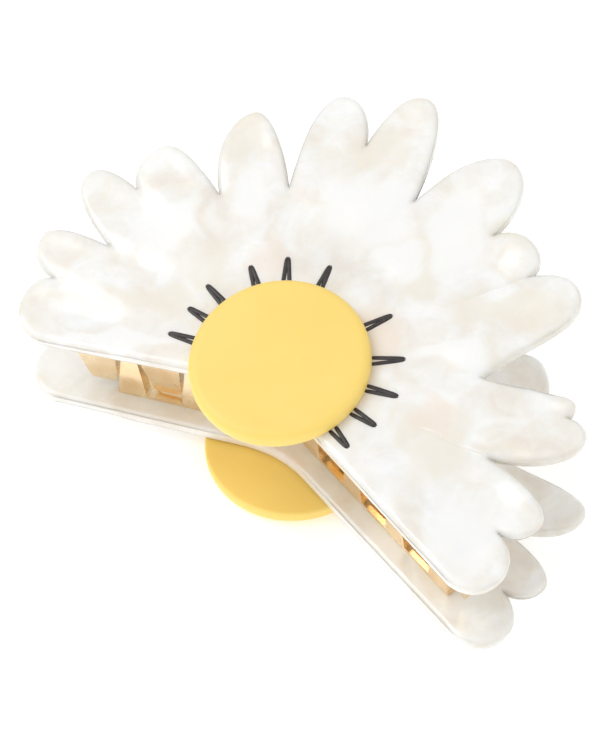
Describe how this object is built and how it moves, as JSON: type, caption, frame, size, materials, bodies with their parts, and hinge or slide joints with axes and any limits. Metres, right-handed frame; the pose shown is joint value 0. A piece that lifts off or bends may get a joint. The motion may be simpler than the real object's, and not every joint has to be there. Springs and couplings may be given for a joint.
{
  "type": "claw hair clip",
  "caption": "Claw hair clip shaped as a flower, with pearly petal plates, round yellow centres, interlocking metal combs and a sprung hinge.",
  "frame": {"origin": "middle of the outer face of the back flower centre, on which the clip lies", "axes": "+Z from the back half up to the front half, +X along the clip, +Y from the jaw edge towards the handle petals"},
  "size_m": [0.1026, 0.0743, 0.0353],
  "materials": {
    "pearl_acetate": "polished, pearly marbled",
    "yellow_acetate": "satin",
    "dark_fill": "satin",
    "cement": "dried solvent cement",
    "gold_plate": "polished gold-tone plating",
    "spring_steel": "drawn wire"
  },
  "bodies": {
    "back_half": {"back_petal_plate": "pearl_acetate", "back_flower_centre": "yellow_acetate", "back_centre_cement": "cement", "back_petal_strokes": "dark_fill", "back_comb": "gold_plate", "back_comb_rivets": "gold_plate", "back_hinge_leaf": "gold_plate", "back_leaf_rivets": "gold_plate", "hinge_pin": "gold_plate", "torsion_spring": "spring_steel"},
    "front_half": {"front_petal_plate": "pearl_acetate", "front_flower_centre": "yellow_acetate", "front_centre_cement": "cement", "front_petal_strokes": "dark_fill", "front_comb": "gold_plate", "front_comb_rivets": "gold_plate", "front_hinge_leaf": "gold_plate", "front_leaf_rivets": "gold_plate"}
  },
  "joints": [
    {"name": "jaw_open", "type": "hinge", "parent": "back_half", "child": "front_half", "pos_m": [0, 0.01896, 0.01623], "axis": [-1, 0, 0], "range_deg": [0, 38], "stiffness_Nm_per_rad": 0.25, "springref_deg": -22.92, "deforming": ["torsion_spring"]}
  ]
}
